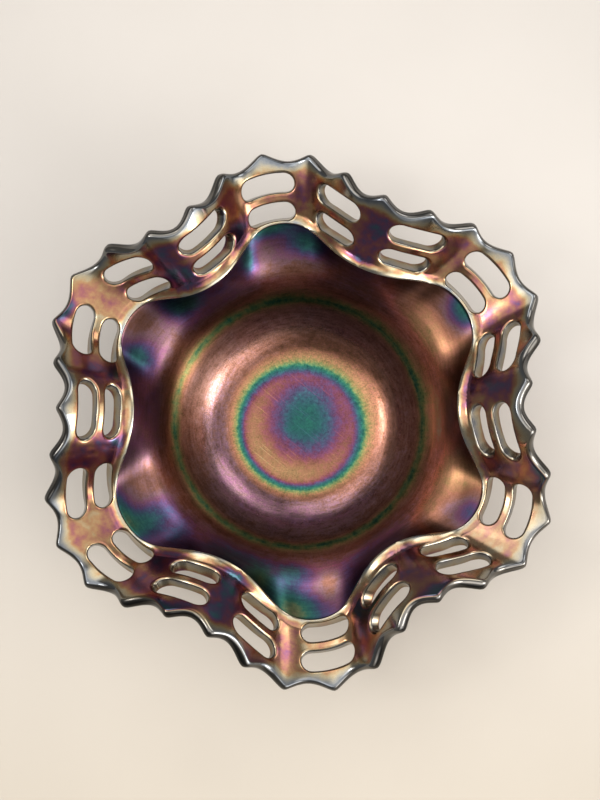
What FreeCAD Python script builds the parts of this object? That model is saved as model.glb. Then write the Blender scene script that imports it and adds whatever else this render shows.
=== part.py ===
import FreeCAD, Part
import math
import os
from functools import lru_cache

# Crimped openwork glass bowl.
# The bowl is one pressing. It is modelled here as the five moulded regions of that
# pressing, each a closed solid that meets the next one face to face.
# Millimetres, +Z up. Origin: centre of the foot's resting face.
#
# The inside of the bowl is a sheet with two coordinates:
#   s  distance along the glass from the centre of the floor, in millimetres
#   u  mould angle round the bowl, in degrees, counter-clockwise from +X
# At each u the sheet follows a slope that is a blend of two meridians, one through
# the top of a ruffle's lobe and one through the bottom of a crimp.

# ---- floor, wall and foot -------------------------------------------------------
FLOOR_TOP = 7.0            # height of the inside floor above the table
FLOOR_THICK = 4.5
WALL_THICK = 4.2
BAND_THICK = 4.0
LIP_THICK = 3.2
FOOT_OUTER_R = 34.0
FOOT_INNER_R = 29.0
FOOT_TOP = 8.0             # hidden inside the floor, trimmed to its underside
FOOT_ROUNDING = 1.1

# ---- meridians: distance s, slope at a lobe, slope at a crimp --------------------
MERIDIANS = [
    (0.0, 0.0, 0.0),
    (19.4, 2.0, 2.0),
    (24.4, 8.0, 8.0),
    (30.4, 26.0, 26.0),
    (35.4, 40.0, 40.0),
    (40.4, 46.0, 46.0),
    (44.4, 46.0, 46.0),
    (47.0, 30.0, 30.0),
    (50.0, 44.0, 52.0),
    (53.0, 52.0, 67.0),
    (56.0, 50.0, 69.0),
    (59.0, 40.0, 69.0),
    (62.0, 27.0, 68.0),
    (65.0, 19.5, 63.0),
    (68.0, 18.5, 56.0),
    (71.0, 20.0, 49.0),
    (74.4, 20.0, 48.0),
    (77.4, 18.0, 43.0),
    (87.4, 18.0, 38.0),
    (93.4, 14.0, 36.0),
    (103.4, 9.0, 33.0),
]
SHOULDER = 46.0            # s where the round well ends and the ruffled side begins
HEM = 74.0                 # mean s of the raised hem under the open band
HEM_SWING = 1.4            # the hem is this much further out on a lobe
BAND_RISE = 1.2            # the band's inner face stands this far inside the sheet
BEAD_ON_CRIMP = 2.9        # and its lower edge, a rounded bead, this far on a crimp
BEAD_ON_LOBE = 2.1         # and this far on a lobe
BEAD_WIDTH = 3.6           # distance along the glass over which the bead fades out
BAND_TOP = 93.8            # s where the open band ends and the lip begins
LIP_EDGE = 96.4            # s of the rim between two teeth
TOOTH = 3.1                # length of a tooth beyond that

# ---- ruffles: six hand crimps, not quite evenly spaced ---------------------------
RUFFLES = 6
FIRST_CRIMP = 8.0
CRIMP_LEAD = 5.1
CRIMP_DRIFT = [(1, 2.9, 8.0), (2, -2.3, -9.0)]     # harmonic, degrees, phase
LOBE_REACH = [1.05, 1.01, 1.02, 1.05, 0.95, 0.96]  # relative opening of each lobe
CRIMP_DEPTH = [-0.11, 0.0, -0.11, 0.0, -0.17, -0.21]
SHIFT_1 = 0.8              # columns keep even spacing along the ruffled glass
SHIFT_2 = 0.8
LOBE_FLATNESS = 2.6        # drop that keeps the middle of a lobe broad and flat
FLAT_START = 56.0          # s where this begins

# ---- openwork ---------------------------------------------------------------------
COLUMNS = 18
COLUMN_START = -2.4        # u of the first column of slots
SLOT_ROWS = [(76.9, 82.8), (86.0, 92.5)]           # s of each row's two long edges
SLOT_HALF = 6.5            # half length of a slot, degrees of u
TEETH = 36

STEP = 0.4                 # integration step along a meridian
AXIS = FreeCAD.Vector(0, 0, 1)
ORIGIN = FreeCAD.Vector(0, 0, 0)


def ease(low, high, x):
    t = min(max((x - low) / (high - low), 0.0), 1.0)
    return t * t * (3.0 - 2.0 * t)


def round_values(values, angle):
    """Smooth periodic curve through evenly spaced values."""
    count = len(values)
    total = sum(values) / count
    for harmonic in range(1, count // 2 + 1):
        share = 1.0 if 2 * harmonic == count else 2.0
        for index, value in enumerate(values):
            turn = harmonic * (angle - 2.0 * math.pi * index / count)
            total += share * value * math.cos(turn) / count
    return total


def ruffle_phase(u):
    """Phase of the ruffle: 0 at the bottom of a crimp, pi at the top of a lobe."""
    angle = u - FIRST_CRIMP + CRIMP_LEAD
    for harmonic, size, phase in CRIMP_DRIFT:
        angle -= size * math.cos(math.radians(harmonic * u - phase))
    return RUFFLES * math.radians(angle)


def lobe_share(u):
    """0 in a crimp, 1 on a lobe, with each one's own depth or reach."""
    phase = ruffle_phase(u)
    turn = phase / RUFFLES
    crimp = round_values(CRIMP_DEPTH, turn)
    lobe = round_values(LOBE_REACH, turn - math.pi / RUFFLES)
    return crimp * (1 + math.cos(phase)) / 2 + lobe * (1 - math.cos(phase)) / 2


def slope(s, share):
    for low, high in zip(MERIDIANS, MERIDIANS[1:]):
        if s <= high[0]:
            break
    t = (s - low[0]) / (high[0] - low[0])
    lobe = low[1] + t * (high[1] - low[1])
    crimp = low[2] + t * (high[2] - low[2])
    return math.radians(crimp + share * (lobe - crimp))


@lru_cache(maxsize=None)
def meridian(u):
    """Radius and height along the sheet at mould angle u, every STEP of s."""
    share = lobe_share(u)
    radius, height = 0.0, FLOOR_TOP
    path = [(radius, height)]
    for index in range(int(103 / STEP)):
        angle = slope((index + 0.5) * STEP, share)
        radius += STEP * math.cos(angle)
        height += STEP * math.sin(angle)
        path.append((radius, height))
    return path


def sheet(u, s):
    """Point of the plain inside sheet."""
    path = meridian(round(u, 4))
    index = min(int(s / STEP), len(path) - 2)
    t = s / STEP - index
    radius = path[index][0] * (1 - t) + path[index + 1][0] * t
    height = path[index][1] * (1 - t) + path[index + 1][1] * t
    phase = ruffle_phase(u)
    broad = math.sin(phase) ** 2 * (1 - 0.5 * math.cos(phase))
    height -= LOBE_FLATNESS * broad * ease(FLAT_START, HEM, s)
    shift = SHIFT_1 * math.sin(phase) + SHIFT_2 * math.sin(2 * phase)
    angle = math.radians(u + shift * ease(SHOULDER, HEM, s))
    return FreeCAD.Vector(radius * math.cos(angle), radius * math.sin(angle), height)


def inward(u, s):
    """Unit normal of the sheet, towards the inside of the bowl."""
    along = sheet(u, s + 0.4) - sheet(u, s - 0.4)
    around = sheet(u + 0.3, s) - sheet(u - 0.3, s)
    return around.cross(along).negative().normalize()


def on_sheet(u, s, lift):
    return sheet(u, s) + inward(u, s) * lift


def hem(u):
    return HEM + HEM_SWING * (2 * lobe_share(u) - 1)


def rim(u):
    """s of the scalloped edge: rounded points with hollows between them."""
    wave = math.sin(math.radians((u - COLUMN_START) * TEETH / 2))
    return LIP_EDGE + TOOTH * (1 - math.sqrt(wave * wave + 0.02)) / (1 - math.sqrt(0.02))


def spread(start, stop, count):
    return [start + (stop - start) * index / (count - 1) for index in range(count)]


def skin(columns, row):
    """Closed surface through one row of (s, lift) points at each mould angle."""
    grid = [[on_sheet(u, s, lift) for s, lift in row(u)] for u in spread(0, 360, columns)]
    grid[-1] = grid[0]
    surface = Part.BSplineSurface()
    surface.interpolate(grid)
    return surface


def ring_face(skin_a, end_a, skin_b, end_b):
    """Ruled face between the start (0) or end (1) edges of two skins."""
    edges = []
    for surface, end in ((skin_a, end_a), (skin_b, end_b)):
        bounds = surface.bounds()
        edges.append(surface.vIso(bounds[2 + end]).toShape())
    return Part.makeRuledSurface(edges[0], edges[1])


def sewn_solid(faces):
    shell = Part.makeShell(faces)
    shell.sewShape()
    solid = Part.makeSolid(Part.Shell(shell.Faces))
    if solid.Volume < 0:
        solid.reverse()
    return solid


def sheet_solid(columns, inner_row, outer_row):
    """Solid between an inner and an outer skin, closed by two ruled rings."""
    inner = skin(columns, inner_row)
    outer = skin(columns, outer_row)
    faces = [inner.toShape(), outer.toShape()]
    faces.append(ring_face(inner, 0, outer, 0))
    faces.append(ring_face(inner, 1, outer, 1))
    return sewn_solid(faces)


def curve_through(points):
    curve = Part.BSplineCurve()
    curve.interpolate(points)
    return curve.toShape()


def outer_lift(s):
    """Depth of the outside of the glass below the inside sheet."""
    depth = FLOOR_THICK + (WALL_THICK - FLOOR_THICK) * ease(30, 44, s)
    depth += (BAND_THICK - BAND_RISE - WALL_THICK) * ease(HEM, HEM + 8, s)
    return -depth


def bead_rise(u):
    return BEAD_ON_CRIMP + (BEAD_ON_LOBE - BEAD_ON_CRIMP) * lobe_share(u)


def inner_lift(u, s):
    """Rise of the band's inner face, highest at the bead along the hem."""
    fade = ease(hem(u) + 0.7, hem(u) + BEAD_WIDTH, s)
    return bead_rise(u) + (BAND_RISE - bead_rise(u)) * fade


def make_well():
    """Round floor, fillet and steep wall up to the shoulder."""
    inside = []
    outside = []
    for s in spread(0, SHOULDER, 24):
        radius, height = meridian(0.0)[int(round(s / STEP))]
        tilt = slope(round(s / STEP) * STEP, 0)
        depth = outer_lift(s)
        inside.append(FreeCAD.Vector(radius, 0, height))
        across = FreeCAD.Vector(-math.sin(tilt), 0, math.cos(tilt))
        outside.append(inside[-1] + across * depth)
    edges = [
        curve_through(inside),
        Part.makeLine(inside[-1], outside[-1]),
        curve_through(outside),
        Part.makeLine(outside[0], inside[0]),
    ]
    profile = Part.Face(Part.Wire(Part.__sortEdges__(edges)))
    return profile.revolve(ORIGIN, AXIS, 360)


def make_foot(well):
    """Plain collar under the floor, its resting edges rounded."""
    ring = Part.makeCylinder(FOOT_OUTER_R, FOOT_TOP)
    ring = ring.cut(Part.makeCylinder(FOOT_INNER_R, FOOT_TOP))
    resting = [edge for edge in ring.Edges if edge.BoundBox.ZMax < 0.01]
    ring = ring.makeFillet(FOOT_ROUNDING, resting)
    return ring.cut(well).Solids[0]


def make_side():
    """Ruffled side between the shoulder and the hem."""
    def inner(u):
        return [(s, 0) for s in spread(SHOULDER, hem(u), 10)]

    def outer(u):
        return [(s, outer_lift(s)) for s in spread(SHOULDER, hem(u), 10)]

    return sheet_solid(145, inner, outer)


def slot_tool(u, row):
    """Prism with a round-ended outline that follows the ruffle."""
    middle = (row[0] + row[1]) / 2
    half = (row[1] - row[0]) / 2
    centre = sheet(u, middle)
    normal = inward(u, middle)
    length = math.radians(SLOT_HALF) * math.hypot(centre.x, centre.y)
    points = []
    for index in range(32):
        angle = 2 * math.pi * index / 32
        reach = (length - half) * math.tanh(3 * math.cos(angle)) + half * math.cos(angle)
        point = sheet(u + SLOT_HALF * reach / length, middle + half * math.sin(angle))
        points.append(point - normal * (point - centre).dot(normal) - normal * 9)
    outline = Part.BSplineCurve()
    outline.interpolate(Points=points, PeriodicFlag=True)
    face = Part.Face(Part.Wire(outline.toShape()))
    return face.extrude(normal * 18)


def make_band():
    """Band from the hem to the lip, with two rows of slots through it."""
    def inner(u):
        start = hem(u)
        top = bead_rise(u)
        riser = [(start, 0), (start + 0.03, 0.4 * top), (start + 0.2, 0.8 * top), (start + 0.7, top)]
        return riser + [(s, inner_lift(u, s)) for s in spread(start + 1.8, BAND_TOP, 12)]

    def outer(u):
        return [(s, outer_lift(s)) for s in spread(hem(u), BAND_TOP, 10)]

    band = sheet_solid(145, inner, outer)
    tools = []
    for column in range(COLUMNS):
        for row in SLOT_ROWS:
            tools.append(slot_tool(COLUMN_START + 360.0 * column / COLUMNS, row))
    return band.cut(tools).Solids[0]


def make_lip():
    """Scalloped lip: one skin from the inside, round the edge, to the outside."""
    outer_side = BAND_RISE - BAND_THICK
    middle = (BAND_RISE + outer_side) / 2

    def wrap(u):
        edge = rim(u)
        half = LIP_THICK / 2
        nose = edge - half
        row = [(BAND_TOP, BAND_RISE)]
        row.append(((BAND_TOP * 2 + nose) / 3, BAND_RISE - 0.05))
        for angle in (75, 50, 25, 0, -25, -50, -75):
            turn = math.radians(angle)
            row.append((nose + half * math.cos(turn) * 0.98, middle + half * math.sin(turn)))
        row.append(((BAND_TOP * 2 + nose) / 3, outer_side + 0.05))
        row.append((BAND_TOP, outer_side))
        return row

    surface = skin(361, wrap)
    faces = [surface.toShape(), ring_face(surface, 0, surface, 1)]
    return sewn_solid(faces)


def main():
    os.makedirs("parts", exist_ok=True)
    well = make_well()
    pieces = {
        "collar_base": make_foot(well),
        "bowl_well": well,
        "ruffled_side": make_side(),
        "openwork_band": make_band(),
        "scalloped_lip": make_lip(),
    }
    for name, shape in pieces.items():
        box = shape.BoundBox
        size = "%.1f x %.1f x %.1f" % (box.XLength, box.YLength, box.ZLength)
        middle = "middle %.2f %.2f, z %.1f to %.1f" % (box.Center.x, box.Center.y, box.ZMin, box.ZMax)
        print(name, shape.ShapeType, "valid", shape.isValid(), size, middle)
        shape.exportStep("parts/" + name + ".step")


main()
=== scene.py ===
"""Carnival glass bowl: the glass surface, its iridescent film, the light and the camera.

The bowl is one continuous skin of pressed glass. It is built here as one mesh and then
parted into the five moulded regions of the CAD frame. The skin is worked out in millimetres
and becomes metres when a mesh is made. Two coordinates name a place on the glass:
    s  distance along the inside surface from the centre of the floor, in millimetres
    u  mould angle round the bowl, in degrees, counter-clockwise from +X
"""
import math
import bpy
import numpy as np
from mathutils import Matrix, Vector


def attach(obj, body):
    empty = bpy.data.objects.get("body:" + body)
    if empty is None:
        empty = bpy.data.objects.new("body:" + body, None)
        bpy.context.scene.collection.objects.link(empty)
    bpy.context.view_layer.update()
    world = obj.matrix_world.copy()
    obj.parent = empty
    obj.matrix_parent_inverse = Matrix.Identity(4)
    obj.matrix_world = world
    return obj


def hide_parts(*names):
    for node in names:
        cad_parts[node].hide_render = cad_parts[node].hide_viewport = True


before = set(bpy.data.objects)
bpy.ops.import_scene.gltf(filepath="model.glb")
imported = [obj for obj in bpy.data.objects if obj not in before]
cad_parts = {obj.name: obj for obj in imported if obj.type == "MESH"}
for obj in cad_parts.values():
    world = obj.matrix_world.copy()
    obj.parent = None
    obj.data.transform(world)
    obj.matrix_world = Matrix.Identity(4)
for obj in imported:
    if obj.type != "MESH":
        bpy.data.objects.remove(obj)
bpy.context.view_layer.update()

# ---- the glass sheet: the same driving dimensions as the CAD part ----------------------
FLOOR_TOP = 7.0
FLOOR_THICK = 4.5
WALL_THICK = 4.2
BAND_THICK = 4.0
FOOT_OUTER_R = 34.0
FOOT_INNER_R = 29.0
FOOT_ROUNDING = 1.1
MERIDIANS = np.array([       # distance s, slope on a lobe, slope in a crimp
    (0.0, 0.0, 0.0), (19.4, 2.0, 2.0), (24.4, 8.0, 8.0), (30.4, 26.0, 26.0),
    (35.4, 40.0, 40.0), (40.4, 46.0, 46.0), (44.4, 46.0, 46.0), (47.0, 30.0, 30.0),
    (50.0, 44.0, 52.0), (53.0, 52.0, 67.0), (56.0, 50.0, 69.0), (59.0, 40.0, 69.0),
    (62.0, 27.0, 68.0), (65.0, 19.5, 63.0), (68.0, 18.5, 56.0), (71.0, 20.0, 49.0),
    (74.4, 20.0, 48.0), (77.4, 18.0, 43.0), (87.4, 18.0, 38.0), (93.4, 14.0, 36.0),
    (103.4, 9.0, 33.0)])
SHOULDER = 46.0
HEM = 74.0
HEM_SWING = 1.4
BAND_RISE = 1.2
BEAD_ON_CRIMP = 2.9
BEAD_ON_LOBE = 2.1
BEAD_WIDTH = 3.6
BAND_TOP = 93.8
LIP_EDGE = 96.4
TOOTH = 3.1
RUFFLES = 6
FIRST_CRIMP = 8.0
CRIMP_LEAD = 5.1
CRIMP_DRIFT = ((1, 2.9, 8.0), (2, -2.3, -9.0))
LOBE_REACH = (1.05, 1.01, 1.02, 1.05, 0.95, 0.96)
CRIMP_DEPTH = (-0.11, 0.0, -0.11, 0.0, -0.17, -0.21)
SHIFT_1 = 0.8
SHIFT_2 = 0.8
LOBE_FLATNESS = 2.6
FLAT_START = 56.0
COLUMNS = 18
COLUMN_START = -2.4
SLOT_ROWS = ((76.9, 82.8), (86.0, 92.5))
ROW_SPLIT = 84.4
SLOT_HALF = 6.5
TEETH = 36

# ---- fineness and fine shape of the mesh -----------------------------------------------
COLUMN_STEPS = 40            # mesh columns under one slot column
CELL_SIDE_STEPS = 12         # mesh rows beside one slot
BEAD_TOP_AT = 0.7            # the hem's bead is highest this far beyond the hem
SLOT_ROUND = 0.9             # rounding of a slot's edges
NOSE = 1.7                   # depth of the lip's rounding
WEAVE_LOW = 37.0             # s where the outside's basket weave begins
WEAVE_STRAND = 4.0           # height of one woven strand
WEAVE_DEPTH = 0.7
STAVES = 36


def ease(low, high, x):
    t = np.clip((x - low) / (high - low), 0.0, 1.0)
    return t * t * (3.0 - 2.0 * t)


def hill(centre, width, x):
    """1 at the centre, falling smoothly to either side; x and centre are angles."""
    away = (x - centre + 180.0) % 360.0 - 180.0
    return np.exp(-(away / width) ** 2)


def round_values(values, angle):
    """Smooth periodic curve through evenly spaced values."""
    count = len(values)
    total = np.full_like(angle, sum(values) / count)
    for harmonic in range(1, count // 2 + 1):
        share = 1.0 if 2 * harmonic == count else 2.0
        for index, value in enumerate(values):
            turn = harmonic * (angle - 2.0 * math.pi * index / count)
            total = total + share * value * np.cos(turn) / count
    return total


def ruffle_phase(u):
    """0 at the bottom of a crimp, pi at the top of a lobe."""
    angle = u - FIRST_CRIMP + CRIMP_LEAD
    for harmonic, size, phase in CRIMP_DRIFT:
        angle = angle - size * np.cos(np.radians(harmonic * u - phase))
    return RUFFLES * np.radians(angle)


def lobe_share(u):
    """0 in a crimp, 1 on a lobe, with each one's own depth or reach."""
    phase = ruffle_phase(u)
    turn = phase / RUFFLES
    crimp = round_values(CRIMP_DEPTH, turn)
    lobe = round_values(LOBE_REACH, turn - math.pi / RUFFLES)
    return crimp * (1 + np.cos(phase)) / 2 + lobe * (1 - np.cos(phase)) / 2


def softened(values, width):
    """Running mean, twice, with the ends held."""
    kernel = np.ones(width) / width
    padded = np.concatenate([np.full(width, values[0]), values, np.full(width, values[-1])])
    for _ in range(2):
        padded = np.convolve(padded, kernel, "same")
    return padded[width:-width]


class Sheet:
    """The inside surface of the glass, from a table of meridians."""
    S_STEP = 0.2
    U_STEP = 0.25

    def __init__(self):
        s = np.arange(0, 103.2, self.S_STEP)
        lobe = softened(np.interp(s, MERIDIANS[:, 0], MERIDIANS[:, 1]), 13)
        crimp = softened(np.interp(s, MERIDIANS[:, 0], MERIDIANS[:, 2]), 13)
        self.u = np.arange(0, 360, self.U_STEP)
        share = lobe_share(self.u)[:, None]
        slope = np.radians(crimp + share * (lobe - crimp))
        self.radius = self.summed(np.cos(slope))
        self.height = FLOOR_TOP + self.summed(np.sin(slope))

    def summed(self, rate):
        steps = (rate[:, 1:] + rate[:, :-1]) * self.S_STEP / 2
        return np.concatenate([np.zeros((len(rate), 1)), np.cumsum(steps, axis=1)], axis=1)

    def point(self, u, s):
        """Points at mould angle u and distance s."""
        column = np.mod(u, 360.0) / self.U_STEP
        c0 = np.floor(column).astype(int)
        ct = column - c0
        c0 = c0 % len(self.u)
        c1 = (c0 + 1) % len(self.u)
        row = np.clip(s / self.S_STEP, 0, self.radius.shape[1] - 1.001)
        r0 = np.floor(row).astype(int)
        rt = row - r0

        def read(table):
            low = table[c0, r0] * (1 - ct) + table[c1, r0] * ct
            high = table[c0, r0 + 1] * (1 - ct) + table[c1, r0 + 1] * ct
            return low * (1 - rt) + high * rt

        phase = ruffle_phase(u)
        shift = SHIFT_1 * np.sin(phase) + SHIFT_2 * np.sin(2 * phase)
        angle = np.radians(u + shift * ease(SHOULDER, HEM, s))
        broad = np.sin(phase) ** 2 * (1 - 0.5 * np.cos(phase))
        height = read(self.height) - LOBE_FLATNESS * broad * ease(FLAT_START, HEM, s)
        radius = read(self.radius)
        return np.stack([radius * np.cos(angle), radius * np.sin(angle), height], -1)

    def inward(self, u, s):
        """Unit normals, towards the inside of the bowl, upright at the very centre."""
        near = np.maximum(s, 1.0)
        along = self.point(u, near + 0.4) - self.point(u, near - 0.4)
        around = self.point(u + 0.4, near) - self.point(u - 0.4, near)
        normal = np.cross(along, around)
        normal[..., :2] *= ease(0.0, 2.0, s)[..., None]
        return normal / np.linalg.norm(normal, axis=-1, keepdims=True)

    def lifted(self, u, s, lift):
        return self.point(u, s) + self.inward(u, s) * lift[..., None]


SHEET = Sheet()


def hem(u):
    return HEM + HEM_SWING * (2 * lobe_share(u) - 1)


def rim(u):
    """s of the scalloped edge: rounded points with hollows between them."""
    wave = np.sin(np.radians((u - COLUMN_START) * TEETH / 2))
    blunt = 0.03
    return LIP_EDGE + TOOTH * (1 - np.sqrt(wave * wave + blunt)) / (1 - math.sqrt(blunt))


def bead_rise(u):
    return BEAD_ON_CRIMP + (BEAD_ON_LOBE - BEAD_ON_CRIMP) * lobe_share(u)


def inner_lift(u, s):
    """Rise of the band's inner face, highest at the bead along the hem."""
    fade = ease(hem(u) + BEAD_TOP_AT, hem(u) + BEAD_WIDTH, s)
    return bead_rise(u) + (BAND_RISE - bead_rise(u)) * fade


def plain_outside(s):
    """The smooth outside of the glass, below the inside sheet."""
    depth = FLOOR_THICK + (WALL_THICK - FLOOR_THICK) * ease(30, 44, s)
    depth = depth + (BAND_THICK - BAND_RISE - WALL_THICK) * ease(HEM, HEM + 8, s)
    return -depth


def weave(u, s):
    """Basket weave moulded on the outside: strands pass over and under upright staves."""
    across = u * STAVES / 360.0
    up = (s - WEAVE_LOW) / WEAVE_STRAND
    strand = np.floor(up)
    crown = np.sin(math.pi * (up - strand)) ** 0.6
    over = 0.5 + 0.5 * np.cos(math.pi * (across * 2 + strand))
    stave = np.exp(-((across * 2 - np.round(across * 2)) / 0.2) ** 2)
    height = np.maximum(crown * (0.25 + 0.75 * over), 0.9 * stave * (1 - over))
    return height * ease(WEAVE_LOW, WEAVE_LOW + 2, s) * (1 - ease(HEM - 4.5, HEM - 2.5, s))


def outer_lift(u, s):
    return plain_outside(s) - WEAVE_DEPTH * weave(u, s)


class Skin:
    """Collects patches of (u, s, lift) points as one welded mesh."""

    def __init__(self):
        self.points = []
        self.where = []
        self.faces = []
        self.tags = []
        self.count = 0

    def patch(self, region, u, s, lift, wrap=True, cap=False):
        """A grid of rows by columns; wrap closes each row on itself.

        A cap closes a region where it meets the next one, and is hidden between them."""
        u, s, lift = np.broadcast_arrays(u, s, lift)
        rows, columns = u.shape
        index = np.arange(rows * columns).reshape(rows, columns) + self.count
        ahead = np.roll(index, -1, axis=1)
        if not wrap:
            index, ahead = index[:, :-1], ahead[:, :-1]
        quads = np.stack([index[:-1], index[1:], ahead[1:], ahead[:-1]], -1).reshape(-1, 4)
        self.points.append(SHEET.lifted(u, s, lift).reshape(-1, 3))
        self.where.append(np.stack([u, s, lift], -1).reshape(-1, 3))
        self.faces.append(quads)
        self.tags += [(region, cap)] * len(quads)
        self.count += rows * columns

    def welded(self):
        points = np.concatenate(self.points)
        where = np.concatenate(self.where)
        key = np.round(points / 0.002).astype(np.int64)
        _, first, back = np.unique(key, axis=0, return_index=True, return_inverse=True)
        faces = back.reshape(-1)[np.concatenate(self.faces)]
        region = np.array([tag[0] for tag in self.tags])
        cap = np.array([tag[1] for tag in self.tags])
        return points[first], where[first], faces, region, cap


def rim_columns():
    start = COLUMN_START - 180.0 / COLUMNS
    return start + 360.0 / COLUMNS / COLUMN_STEPS * np.arange(COLUMNS * COLUMN_STEPS)


def add_well(skin):
    """Floor and well inside and out, each closing to a point at the centre."""
    u = rim_columns()[None, :]
    inside = np.concatenate([[0.0, 1.0], np.arange(2, SHOULDER, 1.0), [SHOULDER]])[:, None]
    skin.patch("bowl_well", u, inside, 0.0 * u)
    woven = np.arange(SHOULDER, WEAVE_LOW, -0.5)
    outside = np.concatenate([woven, np.arange(WEAVE_LOW, 1.5, -1.0), [1.0, 0.0]])[:, None]
    skin.patch("bowl_well", u, outside, outer_lift(u, outside))
    add_cap(skin, "bowl_well", SHOULDER + 0.0 * u, outward=True)


def add_side(skin):
    """Ruffled side from the shoulder to the hem, inside and out."""
    u = rim_columns()[None, :]
    t = np.linspace(0, 1, 36)[:, None]
    skin.patch("ruffled_side", u, SHOULDER + (hem(u) - SHOULDER) * t, 0.0 * u)
    t = np.linspace(1, 0, 60)[:, None]
    outside = SHOULDER + (hem(u) - SHOULDER) * t
    skin.patch("ruffled_side", u, outside, outer_lift(u, outside))
    add_cap(skin, "ruffled_side", SHOULDER + 0.0 * u, outward=False)
    add_cap(skin, "ruffled_side", hem(u), outward=True)


def add_cap(skin, region, s, outward):
    """Hidden face across the glass at distance s."""
    u = rim_columns()[None, :]
    lifts = [0.0 * u, outer_lift(u, s)]
    if not outward:
        lifts.reverse()
    skin.patch(region, u, s, np.concatenate(lifts), cap=True)


def add_bead(skin):
    """Inner half of the hem's rounded bead, and the band's outside behind it."""
    u = rim_columns()[None, :]
    turn = np.radians(np.linspace(0, 90, 10))[:, None]
    along = hem(u) + BEAD_TOP_AT * (1 - np.cos(turn))
    skin.patch("openwork_band", u, along, bead_rise(u) * np.sin(turn))
    outside = hem(u) + BEAD_TOP_AT * np.array([[1.0], [0.0]])
    skin.patch("openwork_band", u, outside, outer_lift(u, outside))
    add_cap(skin, "openwork_band", hem(u), outward=False)


def slot_cell(skin, column, row):
    """The band round one slot: inner face, rounded edges, wall and outer face."""
    centre = COLUMN_START + 360.0 * column / COLUMNS
    low, high = SLOT_ROWS[row]
    half = (high - low) / 2
    middle = (high + low) / 2
    span = 180.0 / COLUMNS
    around = np.linspace(-span, span, COLUMN_STEPS + 1)
    bottom = hem(centre + around) + BEAD_TOP_AT if row == 0 else ROW_SPLIT + 0 * around
    top = (ROW_SPLIT if row == 0 else BAND_TOP) + 0 * around
    t = np.linspace(0, 1, CELL_SIDE_STEPS + 1)[1:-1]
    right = bottom[-1] + (top[-1] - bottom[-1]) * t
    left = top[0] + (bottom[0] - top[0]) * t
    edge_u = np.concatenate([around, 0 * t + span, around[::-1], 0 * t - span])
    edge_s = np.concatenate([bottom, right, top[::-1], left])

    per_degree = math.radians(1.0) * np.linalg.norm(
        SHEET.point(np.array([centre]), np.array([middle]))[0][:2])
    straight = SLOT_HALF * per_degree - half
    x = edge_u * per_degree
    y = edge_s - middle
    spine = np.clip(x, -straight, straight) * 0.985
    reach = np.hypot(x - spine, y)
    out_x = (x - spine) / reach
    out_y = y / reach
    rows_u, rows_s, lifts = [], [], []

    def add_row(at_x, at_y, outside, sunk):
        row_u = centre + at_x / per_degree
        row_s = middle + at_y
        rows_u.append(row_u)
        rows_s.append(row_s)
        if outside:
            lifts.append(outer_lift(row_u, row_s) + sunk)
        else:
            lifts.append(inner_lift(row_u, row_s) - sunk)

    rounding = np.minimum(SLOT_ROUND, 0.8 * (reach - half))

    def add_ring(turn, outside):
        offset = half + rounding * (1 - math.sin(turn))
        add_row(spine + offset * out_x, offset * out_y, outside, rounding * (1 - math.cos(turn)))

    near_x = spine + (half + rounding) * out_x
    near_y = (half + rounding) * out_y
    plate = np.linspace(0, 1, 6)
    bends = np.radians((22.0, 45.0, 68.0, 90.0))
    for t in plate:
        add_row(x + (near_x - x) * t, y + (near_y - y) * t, False, 0.0)
    for turn in bends:
        add_ring(turn, False)
    for turn in bends[::-1]:
        add_ring(turn, True)
    for t in plate[::-1]:
        add_row(x + (near_x - x) * t, y + (near_y - y) * t, True, 0.0)
    skin.patch("openwork_band", np.array(rows_u), np.array(rows_s), np.array(lifts))


def add_lip(skin):
    """From the band's inner face over the rounded, toothed edge to its outer face."""
    u = rim_columns()[None, :]
    half = BAND_THICK / 2
    middle = BAND_RISE - half
    start = rim(u) - NOSE
    run = np.linspace(0, 1, 5)[:, None]
    rows_s = [BAND_TOP + (start - BAND_TOP) * run]
    rows_lift = [BAND_RISE + 0 * run * u]
    turn = np.radians(np.linspace(90, -90, 19))[1:-1, None]
    power = 0.85
    out = np.abs(np.cos(turn)) ** power
    up = np.sign(np.sin(turn)) * np.abs(np.sin(turn)) ** power
    rows_s.append(start + NOSE * out)
    rows_lift.append(middle + half * up + 0 * u)
    rows_s.append(BAND_TOP + (start - BAND_TOP) * run[::-1])
    rows_lift.append(BAND_RISE - BAND_THICK + 0 * run * u)
    skin.patch("scalloped_lip", u, np.concatenate(rows_s), np.concatenate(rows_lift))
    ends = np.array([[BAND_RISE], [BAND_RISE - BAND_THICK]]) + 0 * u
    skin.patch("openwork_band", u, BAND_TOP + 0 * u, ends, cap=True)
    skin.patch("scalloped_lip", u, BAND_TOP + 0 * u, ends[::-1], cap=True)


def build_skin():
    skin = Skin()
    add_well(skin)
    add_side(skin)
    add_bead(skin)
    for column in range(COLUMNS):
        for row in range(len(SLOT_ROWS)):
            slot_cell(skin, column, row)
    add_lip(skin)
    return skin.welded()


def vertex_normals(points, faces):
    a, b, c, d = (points[faces[:, i]] for i in range(4))
    normal = np.cross(c - a, d - b)
    total = np.zeros_like(points)
    for i in range(4):
        np.add.at(total, faces[:, i], normal)
    return total / np.maximum(np.linalg.norm(total, axis=1, keepdims=True), 1e-12)


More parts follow.
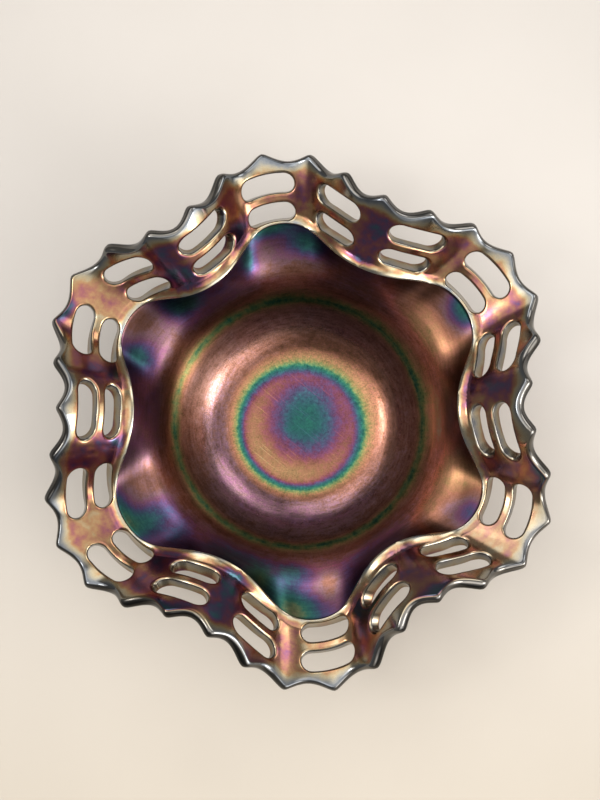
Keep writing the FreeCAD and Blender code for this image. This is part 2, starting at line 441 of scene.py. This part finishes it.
# ---- the film: optical thickness in nanometres, and how it is laid -----------------------
FLOOR_FILM = np.array([      # s, film towards FILM_TURN
    (0.0, 725), (3.5, 700), (5.5, 650), (7.0, 590), (9.0, 550), (11.0, 515), (13.0, 465),
    (15.0, 425), (17.0, 405), (19.0, 420), (20.2, 470), (20.9, 550), (21.5, 630), (22.0, 710),
    (22.7, 780), (23.5, 840), (24.5, 900), (25.5, 960), (27.0, 1035), (30.0, 1060), (33.0, 1040),
    (40.0, 985)])
FAR_FILM = np.array([        # s, film on the other side
    (0.0, 725), (6.0, 700), (9.0, 660), (11.5, 610), (13.5, 570), (15.0, 545), (16.8, 530),
    (17.9, 560), (18.7, 600), (19.4, 660), (20.1, 720), (21.2, 790), (22.4, 850), (24.2, 895),
    (27.0, 940), (34.0, 965), (40.0, 985)])
FILM_TURN = 235.0
WALL_FILM = np.array([       # s, film above the floor, all the way round
    (40.0, 985), (43.3, 955), (44.6, 910), (45.6, 850), (46.3, 795), (47.0, 790), (48.0, 850),
    (49.8, 920), (53.0, 960), (57.0, 985), (76.0, 1000)])
CRIMP_FILM = 75.0            # extra in the crimps of the side
MAUVE_FILM = 60.0            # extra on the near side, which shows mauve
LOBE_FILM = (-75.0, -20.0, 45.0, -10.0, 45.0, -105.0)       # each lobe's own extra film
FILM_SPOTS = (               # u, s, half width in u, half width in s, extra film
    (34, 76.0, 6, 7.0, 370), (87, 70.0, 8, 6.0, 260), (99, 76.0, 7, 4.0, 330),
    (97, 65.0, 6, 5.0, 65), (108, 68.0, 4, 6.0, 210), (134, 68.0, 7, 6.0, 190),
    (158, 68.0, 5, 6.0, 190), (147, 72.0, 6, 5.0, -60), (160, 47.0, 16, 3.0, 60),
    (5, 53.0, 12, 5.0, -70), (213, 69.0, 5, 7.0, 240), (208, 75.0, 7, 3.5, 250),
    (213, 60.0, 6, 4.0, 90), (222, 64.0, 5, 7.0, 90), (267, 58.0, 6, 6.0, 110),
    (269, 73.0, 7, 6.0, 260), (280, 65.0, 5, 6.0, -120), (255, 68.0, 5, 7.0, 160),
    (332, 73.0, 5, 5.0, 230), (330, 66.0, 4, 3.0, 70))
HEM_FILM = 255.0             # on the bead
RAIL_FILM = 420.0            # on the band above and below the slots
POST_FILM = 138.0            # more film on the posts between slots, most in a crimp
EDGE_FILM = 165.0            # on the lip
WALL_OF_SLOT = 210.0
OUTSIDE_FILM = 1000.0
LIP_BLUES = (155.0, 237.0, 308.0, 348.0)               # blue places along the lip
BLUE_FILM = 660.0


def by_distance(table, s):
    """Value at distance s from a table of (s, value) rows."""
    return np.interp(s, table[:, 0], table[:, 1])


def spot_weight(at_u, at_s, wide, high, u, s):
    """1 at the middle of a spot on the glass, falling smoothly round it."""
    return hill(at_u, wide, u) * np.exp(-((s - at_s) / high) ** 2)


def inside_film(u, s):
    """Film on the floor, the well and the ruffled side."""
    near = by_distance(FLOOR_FILM, s)
    far = by_distance(FAR_FILM, s)
    film = far + (near - far) * (0.5 + 0.5 * np.cos(np.radians(u - FILM_TURN)))
    off_centre = s + 0.4 - 1.1 * np.cos(np.radians(u - 165.0))
    film = np.where(off_centre > WALL_FILM[0, 0], by_distance(WALL_FILM, off_centre), film)
    film = film + CRIMP_FILM * ease(50, 58, s) * (1 - lobe_share(u))
    mauve = hill(265.0, 65.0, u) * ease(30, 36, s) * (1 - 0.9 * hill(46.0, 2.5, s))
    film = film + MAUVE_FILM * mauve
    own = round_values(LOBE_FILM, ruffle_phase(u) / RUFFLES - math.pi / RUFFLES)
    film = film + ease(52, 60, s) * own
    for at_u, at_s, wide, high, extra in FILM_SPOTS:
        film = film + extra * spot_weight(at_u, at_s, wide, high, u, s)
    return film


def band_film(u, s):
    """Film on the band and the lip: thin on hem and edge, thick between slots."""
    post = np.cos(np.radians((u - COLUMN_START) * COLUMNS / 2 + 90)) ** 4
    post = post * (1.12 - 0.85 * lobe_share(u)) * (1 - 0.5 * hill(325.0, 40.0, u))
    film = RAIL_FILM + POST_FILM * post
    film = HEM_FILM + (film - HEM_FILM) * ease(hem(u) + 0.8, hem(u) + 2.6, s)
    edge = EDGE_FILM
    for centre in LIP_BLUES:
        edge = edge + (BLUE_FILM - EDGE_FILM) * hill(centre, 7.0, u)
    return film + (edge - film) * ease(BAND_TOP - 1.5, rim(u) - 0.8, s)


LEVELS = np.array([          # s, share of the full reflectance: partly the film's own, partly painted shade in the middle of the floor, on the steep wall and towards the hem
    (5.0, 0.75), (12.0, 0.95), (33.0, 0.95), (37.0, 0.6), (41.0, 0.38), (44.0, 0.31),
    (46.0, 0.17), (47.0, 0.17), (50.0, 0.33), (54.0, 0.75), (58.0, 1.12), (63.0, 1.02),
    (69.0, 0.48)])
LEVEL_SPOTS = (              # u, s, half width in u, half width in s, share more or less: painted highlights and painted shade standing for the room's reflections
    (160, 41, 32, 6, 1.0), (154, 46.5, 11, 2.4, 1.6), (2, 52, 14, 5, 1.8), (146, 71, 8, 4, -0.5),
    (325, 42, 65, 7, 0.75), (325, 55, 65, 6, 1.2), (275, 54, 60, 6, 1.2), (30, 51, 45, 8, 1.0),
    (165, 56, 42, 8, -0.6), (105, 48, 32, 3.5, -0.6), (50, 70, 35, 4, -0.35), (320, 70, 40, 3, -0.25),
    (250, 35, 35, 5, 0.4), (270, 60, 40, 4, 0.4))
FULL_LEVEL = 0.40            # reflectance of a share of 1
SILVER_SHARE = np.array([    # s, share of plain silver in the film's colour
    (31, 0.05), (38, 0.25), (43, 0.25), (46, 0.03)])
ROUGHNESS = np.array([       # s, roughness
    (0, 0.30), (20, 0.28), (25, 0.20), (34, 0.24), (38, 0.34), (50, 0.36), (61, 0.34), (74, 0.29)])
MOTTLE = np.array([          # s, film that the mottling adds or takes away
    (0, 55.0), (6, 60.0), (14, 50.0), (19, 14.0), (30, 20.0), (46, 75.0), (56, 60.0), (74, 45.0)])
GRAIN = np.array([           # s, strength of the fine grain
    (0, 0.4), (10, 0.8), (20, 1.0), (45, 1.0), (74, 0.5)])
BAND_ROUGHNESS = 0.17
BAND_MOTTLE = 200.0
BAND_GRAIN = 0.15
OUTSIDE_ROUGHNESS = 0.26


def level_map(u, s, deep, on_band, outside, wall, lip):
    """Reflectance: duller outside and on slot walls, with painted highlights and painted shade by
    place, and painted shade on the lip where it turns under.
    """
    inside = by_distance(LEVELS, s)
    # painted highlights and painted shade, spot by spot
    for at_u, at_s, wide, high, change in LEVEL_SPOTS:
        inside = inside * (1 + change * spot_weight(at_u, at_s, wide, high, u, s))
    band = 1.3 - 0.15 * ease(82, 88, s) - 0.28 * lip
    level = FULL_LEVEL * np.where(on_band, band, inside) + 0.02 * lip - 0.1 * wall
    # the lip darker where it turns under: partly the plain dark glass there, partly painted shade,
    # strongest and earliest round u 250
    shaded = hill(250.0, 55.0, u)
    turned = ease(0.4 - 0.3 * shaded, 0.8 - 0.4 * shaded, deep)
    level = level * (1 - 0.8 * lip * turned) * (1 - 0.35 * outside)
    # painted shade on the lip round u 200
    return level * (1 - 0.4 * lip * hill(200.0, 30.0, u))


def finish_map(where):
    """Film thickness, reflectance with its painted highlights and painted shade, roughness, mottling
    and grain at each vertex.
    """
    u, s, lift = where.T
    on_band = s > hem(u) + 0.001
    top = np.where(on_band, BAND_RISE + 0.3, 0.0)
    deep = np.clip((top - lift) / BAND_THICK, 0, 1)
    outside = ease(0.7, 0.95, deep)
    wall = ease(0.08, 0.2, deep) * (1 - outside) * (s > HEM)
    lip = ease(BAND_TOP, rim(u) - 1.0, s)

    film = np.where(on_band, band_film(u, s), inside_film(u, s))
    film = film + (WALL_OF_SLOT - film) * wall
    film = np.where(on_band, film, film + (OUTSIDE_FILM - film) * outside)
    band_silver = 0.10 + 0.15 * hill(325.0, 40.0, u)
    silver = np.where(on_band, band_silver, by_distance(SILVER_SHARE, s)) + 0.35 * wall
    rough = np.where(on_band, BAND_ROUGHNESS, by_distance(ROUGHNESS, s)) * (1 - 0.55 * lip)
    rough = rough + (OUTSIDE_ROUGHNESS - rough) * outside * (1 - lip)
    mottle = np.where(on_band, BAND_MOTTLE, by_distance(MOTTLE, s)) * (1 - 0.75 * lip)
    grain = np.where(on_band, BAND_GRAIN, by_distance(GRAIN, s))
    level = level_map(u, s, deep, on_band, outside, wall, lip)
    return {"film": film, "level": level, "silver": silver, "rough": rough, "mottle": mottle,
            "grain": grain, "glass_s": s}


def make_mesh(name, points, faces, normals, finish):
    """Mesh in metres; faces may repeat a corner where a grid closes to a point."""
    used, back = np.unique(faces, return_inverse=True)
    loops = [list(dict.fromkeys(face)) for face in back.reshape(faces.shape).tolist()]
    mesh = bpy.data.meshes.new(name)
    mesh.from_pydata((points[used] / 1000.0).tolist(), [], [loop for loop in loops if len(loop) > 2])
    for label, values in finish.items():
        layer = mesh.attributes.new(label, "FLOAT", "POINT")
        layer.data.foreach_set("value", values[used].astype(np.float32))
    mesh.polygons.foreach_set("use_smooth", np.ones(len(mesh.polygons), bool))
    mesh.normals_split_custom_set_from_vertices(normals[used].tolist())
    return mesh


def add_piece(node, mesh, material):
    mesh.materials.append(material)
    piece = bpy.data.objects.new(node + "_glass", mesh)
    bpy.context.scene.collection.objects.link(piece)
    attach(piece, "root")
    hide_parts(node)


FOOT_FINISH = {"film": OUTSIDE_FILM, "level": 0.27, "silver": 0.05, "rough": 0.25, "mottle": 90.0,
               "grain": 0.8, "glass_s": 30.0}


def foot_profile():
    """Section of the collar: rounded resting edges, walls that flare into the underside."""
    s = np.arange(20.0, 40.0, 0.25)
    under = SHEET.lifted(0 * s, s, plain_outside(s))
    radius = np.hypot(under[:, 0], under[:, 1])

    def flare(wall, side):
        """From the upright wall out to the glass, on a quarter of an ellipse."""
        reach = 1.3
        high = np.interp(wall + side * reach, radius, under[:, 2]) + 0.15
        low = high - 1.8 if side > 0 else high - 1.2
        turn = np.radians(np.linspace(0, 90, 8))
        out = wall + side * reach * (1 - np.cos(turn))
        return list(zip(out, low + (high - low) * np.sin(turn)))

    def toe(wall, side):
        """Round the resting edge, from the table up to the wall."""
        turn = np.radians(np.linspace(0, 90, 7))
        out = wall + side * FOOT_ROUNDING * (np.sin(turn) - 1)
        return list(zip(out, FOOT_ROUNDING * (1 - np.cos(turn))))

    middle = (FOOT_INNER_R + FOOT_OUTER_R) / 2
    buried = [(middle, np.interp(middle, radius, under[:, 2]) + 1.5)]
    outer = toe(FOOT_OUTER_R, 1) + flare(FOOT_OUTER_R, 1)
    inner = toe(FOOT_INNER_R, -1) + flare(FOOT_INNER_R, -1)
    return np.array([(middle, 0.0)] + outer + buried + inner[::-1])


def make_foot(material):
    profile = foot_profile()
    angle = np.radians(np.arange(0, 360, 1.5))[:, None]
    radius, height = profile[:, 0], profile[:, 1] + 0 * angle
    points = np.stack([radius * np.cos(angle), radius * np.sin(angle), height], -1).reshape(-1, 3)
    index = np.arange(len(points)).reshape(len(angle), -1)
    ahead = np.roll(index, -1, axis=0)
    faces = np.stack([index, np.roll(index, -1, 1), np.roll(ahead, -1, 1), ahead], -1).reshape(-1, 4)
    blank = np.ones(len(points))
    finish = {name: value * blank for name, value in FOOT_FINISH.items()}
    mesh = make_mesh("collar_base", points, faces, vertex_normals(points, faces), finish)
    add_piece("collar_base", mesh, material)


class Graph:
    """Small helper that adds and links nodes of one material."""

    def __init__(self, tree):
        self.tree = tree

    def link(self, value, socket):
        if isinstance(value, (int, float, tuple)):
            socket.default_value = value
        else:
            self.tree.links.new(value, socket)

    def add(self, kind, inputs, output=0, **settings):
        node = self.tree.nodes.new(kind)
        for name, value in settings.items():
            setattr(node, name, value)
        for key, value in inputs.items():
            self.link(value, node.inputs[key])
        return node.outputs[output]

    def math(self, operation, *values):
        return self.add("ShaderNodeMath", dict(enumerate(values)), operation=operation)

    def attribute(self, name):
        return self.add("ShaderNodeAttribute", {}, "Fac", attribute_name=name)

    def noise(self, vector, scale, detail=2.0):
        return self.add("ShaderNodeTexNoise", {"Vector": vector, "Scale": scale, "Detail": detail})

    def ramp(self, value, stops):
        """Colour ramp through (position, colour) stops."""
        node = self.tree.nodes.new("ShaderNodeValToRGB")
        for index, (position, colour) in enumerate(stops):
            elements = node.color_ramp.elements
            stop = elements[index] if index < 2 else elements.new(position)
            stop.position = position
            stop.color = (*colour, 1.0)
        self.link(value, node.inputs["Fac"])
        return node.outputs["Color"]

    def scaled(self, vector, factor):
        return self.add("ShaderNodeVectorMath", {0: vector, 1: factor}, operation="MULTIPLY")

    def grey(self, value):
        return self.add("ShaderNodeCombineXYZ", {"X": value, "Y": value, "Z": value})

    def between(self, value, zero_at, one_at):
        """Share of the way from one value to another, held at 0 and 1 beyond them."""
        return self.add("ShaderNodeMapRange", {"Value": value, "From Min": zero_at, "From Max": one_at})

    def around_zero(self, noise, size):
        """Noise moved to the range -size..size, size being a number or a socket."""
        centred = self.math("MULTIPLY_ADD", noise, 2.0, -1.0)
        return self.math("MULTIPLY", centred, size)


FILM_COLOURS = (             # film thickness in nanometres, colour it reflects
    (130, (0.20, 0.25, 0.33)), (180, (0.42, 0.46, 0.50)), (240, (0.64, 0.60, 0.50)),
    (300, (0.72, 0.62, 0.42)), (350, (0.70, 0.54, 0.32)), (400, (0.64, 0.37, 0.17)),
    (450, (0.54, 0.24, 0.14)), (500, (0.42, 0.13, 0.15)), (540, (0.30, 0.09, 0.20)),
    (570, (0.20, 0.10, 0.25)), (600, (0.12, 0.12, 0.26)), (650, (0.06, 0.19, 0.26)),
    (700, (0.035, 0.21, 0.21)), (740, (0.03, 0.26, 0.20)), (780, (0.10, 0.36, 0.19)),
    (820, (0.33, 0.46, 0.18)), (860, (0.52, 0.41, 0.16)), (900, (0.62, 0.33, 0.16)),
    (950, (0.55, 0.23, 0.14)), (1000, (0.50, 0.23, 0.18)), (1040, (0.45, 0.24, 0.29)),
    (1080, (0.37, 0.15, 0.27)), (1120, (0.25, 0.13, 0.33)), (1160, (0.13, 0.14, 0.31)),
    (1200, (0.08, 0.19, 0.27)), (1250, (0.06, 0.25, 0.25)), (1300, (0.08, 0.30, 0.22)),
    (1350, (0.24, 0.33, 0.17)), (1400, (0.40, 0.35, 0.20)))


SILVER = (0.50, 0.46, 0.43, 1.0)


def film_colour(graph, film):
    """Interference colour of the film, read from its thickness."""
    low, high = FILM_COLOURS[0][0], FILM_COLOURS[-1][0]
    share = graph.add("ShaderNodeMapRange", {"Value": film, "From Min": low, "From Max": high})
    return graph.ramp(share, [((at - low) / (high - low), colour) for at, colour in FILM_COLOURS])


def blend_by(graph, factor, a, b):
    """Colour a where factor is 0, colour b where it is 1."""
    return graph.add("ShaderNodeMix", {"Factor": factor, "A": a, "B": b}, 2, data_type="RGBA")


def wiping_streaks(graph, metres, s):
    """Marks of wiping: rings round the bowl, with some rays on the fillet of the floor."""
    flat = graph.scaled(metres, (1.0, 1.0, 0.0))
    compass = graph.add("ShaderNodeVectorMath", {0: flat}, operation="NORMALIZE")

    def wiped(around, out):
        """Noise drawn out round the bowl or away from its centre."""
        turned = graph.scaled(compass, (around, around, around))
        moved = graph.add("ShaderNodeCombineXYZ", {"Z": graph.math("MULTIPLY", s, out)})
        place_on_glass = graph.add("ShaderNodeVectorMath", {0: turned, 1: moved}, operation="ADD")
        return graph.noise(place_on_glass, 1.0, 3.0)

    rays = wiped(42.0, 0.22)
    rings = wiped(6.0, 1.1)
    on_fillet = graph.math("MULTIPLY", graph.between(s, 8.0, 14.0), graph.between(s, 29.0, 24.0))
    ray_share = graph.math("MULTIPLY", on_fillet, 0.55)
    extra = graph.math("MULTIPLY", graph.math("SUBTRACT", rays, rings), ray_share)
    return graph.math("ADD", extra, rings)


def floor_scratches(graph, place, s):
    """Fine slanting scratches, on the floor only."""
    slanted = graph.add("ShaderNodeMapping", {
        "Vector": place, "Rotation": (0.0, 0.0, math.radians(-40.0)), "Scale": (16.0, 0.35, 16.0)},
        vector_type="TEXTURE")
    scratched = graph.between(graph.noise(slanted, 1.0, 2.0), 0.64, 0.72)
    return graph.math("MULTIPLY", scratched, graph.between(s, 22.0, 17.0))


def film_material():
    """Dark glass under an iridescent film whose thickness each vertex carries."""
    material = bpy.data.materials.new("iridescent_glass")
    material.use_nodes = True
    tree = material.node_tree
    shader = tree.nodes["Principled BSDF"]
    graph = Graph(tree)
    metres = graph.add("ShaderNodeTexCoord", {}, "Object")
    place = graph.scaled(metres, (1000.0, 1000.0, 1000.0))
    s = graph.attribute("glass_s")
    grain = graph.attribute("grain")
    mottle = graph.attribute("mottle")
    clouds = graph.noise(place, 0.11, 3.0)
    blotches = graph.noise(place, 0.35, 3.0)
    pits = graph.noise(place, 0.9, 3.0)
    speckle = graph.noise(place, 2.2, 4.0)
    streaks = wiping_streaks(graph, metres, s)
    scratches = floor_scratches(graph, place, s)

    def varied(total, layers):
        """Total with noises added, each a noise, its strength and what scales that."""
        for noise, strength, scale in layers:
            size = graph.math("MULTIPLY", scale, strength)
            total = graph.math("ADD", total, graph.around_zero(noise, size))
        return total

    film = varied(graph.attribute("film"), (
        (clouds, 1.0, mottle), (blotches, 0.6, mottle), (streaks, 28.0, grain), (pits, 55.0, grain)))
    film = graph.math("ADD", film, graph.math("MULTIPLY", scratches, -45.0))
    shade = varied(1.0, (
        (speckle, 0.6, grain), (pits, 0.4, grain), (streaks, 0.6, grain), (blotches, 0.3, grain)))
    shade = graph.math("ADD", shade, graph.math("MULTIPLY", scratches, 0.3))
    # the level attribute carries painted highlights and painted shade along with the film's reflectance
    level = graph.math("MULTIPLY", graph.attribute("level"), shade)
    silvered = blend_by(graph, graph.attribute("silver"), film_colour(graph, film), SILVER)
    graph.link(graph.scaled(silvered, graph.grey(level)), shader.inputs["Base Color"])

    rough = varied(graph.attribute("rough"), ((blotches, 0.08, grain),))
    graph.link(rough, shader.inputs["Roughness"])
    shader.inputs["Metallic"].default_value = 1.0
    relief = graph.math("ADD", speckle, graph.math("MULTIPLY", streaks, 0.6))
    bump = graph.add("ShaderNodeBump", {
        "Strength": graph.math("MULTIPLY", grain, 0.25), "Distance": 0.00005, "Height": relief})
    graph.link(bump, shader.inputs["Normal"])
    return material


def make_bowl():
    material = film_material()
    points, where, faces, region, cap = build_skin()
    normals = vertex_normals(points, faces[~cap])
    finish = finish_map(where)
    for name in ("bowl_well", "ruffled_side", "openwork_band", "scalloped_lip"):
        add_piece(name, make_mesh(name, points, faces[region == name], normals, finish), material)
    make_foot(material)


# ---- stage, light and camera ---------------------------------------------------------------
def table_material():
    """Pale warm table top with painted light: a little darker away from the bowl, and a painted warm
    light on the near side.
    """
    material = bpy.data.materials.new("table_top")
    material.use_nodes = True
    graph = Graph(material.node_tree)
    place = graph.add("ShaderNodeTexCoord", {}, "Object")
    clouds = graph.noise(place, 18.0, 4.0)
    tone = blend_by(graph, clouds, (0.475, 0.45, 0.425, 1.0), (0.515, 0.49, 0.465, 1.0))
    away = graph.add("ShaderNodeVectorMath", {0: place}, "Value", operation="LENGTH")
    # painted light: the table brighter near the bowl, darker away from it
    painted_light_near_bowl = graph.add("ShaderNodeMapRange", {
        "Value": away, "From Min": 0.08, "From Max": 0.24, "To Min": 1.0, "To Max": 0.86},
        interpolation_type="SMOOTHSTEP")
    tone = graph.scaled(tone, graph.grey(painted_light_near_bowl))
    across = graph.add("ShaderNodeSeparateXYZ", {"Vector": place}, "Y")
    # painted warm light on the near side of the table
    painted_warm_light = graph.scaled(tone, (0.95, 0.90, 0.80))
    tone = blend_by(graph, graph.between(across, 0.02, -0.16), tone, painted_warm_light)
    shader = material.node_tree.nodes["Principled BSDF"]
    graph.link(tone, shader.inputs["Base Color"])
    shader.inputs["Roughness"].default_value = 0.75
    return material


TABLE_REACH = 3.0            # metres from the middle of the table to each edge


def make_stage():
    mesh = bpy.data.meshes.new("table_top")
    corners = [(x * TABLE_REACH, y * TABLE_REACH, 0) for x, y in ((-1, -1), (1, -1), (1, 1), (-1, 1))]
    mesh.from_pydata(corners, [], [(0, 1, 2, 3)])
    mesh.materials.append(table_material())
    piece = bpy.data.objects.new("table_top", mesh)
    bpy.context.scene.collection.objects.link(piece)


BRIGHTNESS = 2.5             # of the whole room; the values below are relative
LIGHT_DISTANCE = 1.3
LIGHTS = (                   # name, azimuth, elevation, size in metres, brightness, colour
    ("left_window", 180.0, 53.0, 0.30, 5.0, (1.0, 0.97, 0.92)),
    ("right_window", -20.0, 27.0, 0.55, 3.4, (1.0, 0.95, 0.88)),
    ("far_window", 42.0, 36.0, 0.60, 1.1, (1.0, 0.97, 0.94)),
)
SKY_BASE = 0.12
SKY_GLOWS = (                # azimuth, elevation, bright out to, fades out at, brightness
    (0.0, 90.0, 12.0, 32.0, 0.66), (110.0, 46.0, 12.0, 20.0, 0.95), (147.0, 51.0, 12.0, 20.0, 0.75),
    (186.0, 57.0, 11.0, 23.0, 0.80), (60.0, 36.0, 6.0, 22.0, 0.45), (-5.0, 18.0, 6.0, 20.0, 0.90),
    (-25.0, 14.0, 8.0, 22.0, 0.80), (-40.0, 38.0, 8.0, 24.0, 1.00), (-60.0, 35.0, 8.0, 28.0, 0.35),
    (-5.0, 45.0, 20.0, 50.0, 0.30))


def towards(azimuth, elevation):
    around, up = math.radians(azimuth), math.radians(elevation)
    return Vector((math.cos(around) * math.cos(up), math.sin(around) * math.cos(up), math.sin(up)))


def make_light():
    for name, azimuth, elevation, size, brightness, colour in LIGHTS:
        light = bpy.data.lights.new(name, "AREA")
        light.shape = "DISK"
        light.size = size
        light.energy = BRIGHTNESS * brightness * math.pi * math.pi * size * size / 4
        light.color = colour
        piece = bpy.data.objects.new(name, light)
        direction = towards(azimuth, elevation)
        piece.location = direction * LIGHT_DISTANCE
        piece.rotation_euler = direction.to_track_quat("Z", "Y").to_euler()
        bpy.context.scene.collection.objects.link(piece)
    make_sky()


def make_sky():
    """A room's light: dim walls, a bright ceiling and soft glows from windows."""
    world = bpy.data.worlds.new("room")
    bpy.context.scene.world = world
    world.use_nodes = True
    graph = Graph(world.node_tree)
    direction = graph.add("ShaderNodeTexCoord", {}, "Generated")
    total = SKY_BASE * BRIGHTNESS
    for azimuth, elevation, inner, outer, brightness in SKY_GLOWS:
        centre = tuple(towards(azimuth, elevation))
        facing = graph.add("ShaderNodeVectorMath", {0: direction, 1: centre}, "Value",
                           operation="DOT_PRODUCT")
        glow = graph.add("ShaderNodeMapRange", {
            "Value": facing, "From Min": math.cos(math.radians(outer)),
            "From Max": math.cos(math.radians(inner)), "To Max": BRIGHTNESS * brightness},
            interpolation_type="SMOOTHSTEP")
        total = graph.math("ADD", total, glow)
    background = world.node_tree.nodes["Background"]
    background.inputs["Color"].default_value = (1.0, 0.97, 0.93, 1.0)
    graph.link(total, background.inputs["Strength"])


SENSOR_HEIGHT = 36.0
FOCAL_LENGTH = 2.13125 * SENSOR_HEIGHT
CAMERA_PLACE = Vector((0.0261, -0.0301, 0.600))
CAMERA_AIM = Vector((-0.0011, 0.0093, 0.0))


def make_camera():
    """Camera almost straight above the bowl, with +Y upwards in its view."""
    camera = bpy.data.cameras.new("camera")
    camera.sensor_fit = "VERTICAL"
    camera.sensor_height = SENSOR_HEIGHT
    camera.lens = FOCAL_LENGTH
    camera.clip_start = 0.05
    piece = bpy.data.objects.new("camera", camera)
    back = (CAMERA_PLACE - CAMERA_AIM).normalized()
    right = Vector((0, 1, 0)).cross(back).normalized()
    turn = Matrix((right, back.cross(right), back)).transposed()
    piece.matrix_world = Matrix.Translation(CAMERA_PLACE) @ turn.to_4x4()
    bpy.context.scene.collection.objects.link(piece)
    bpy.context.scene.camera = piece
    bpy.context.scene.view_settings.view_transform = "Standard"


make_bowl()
make_stage()
make_light()
make_camera()
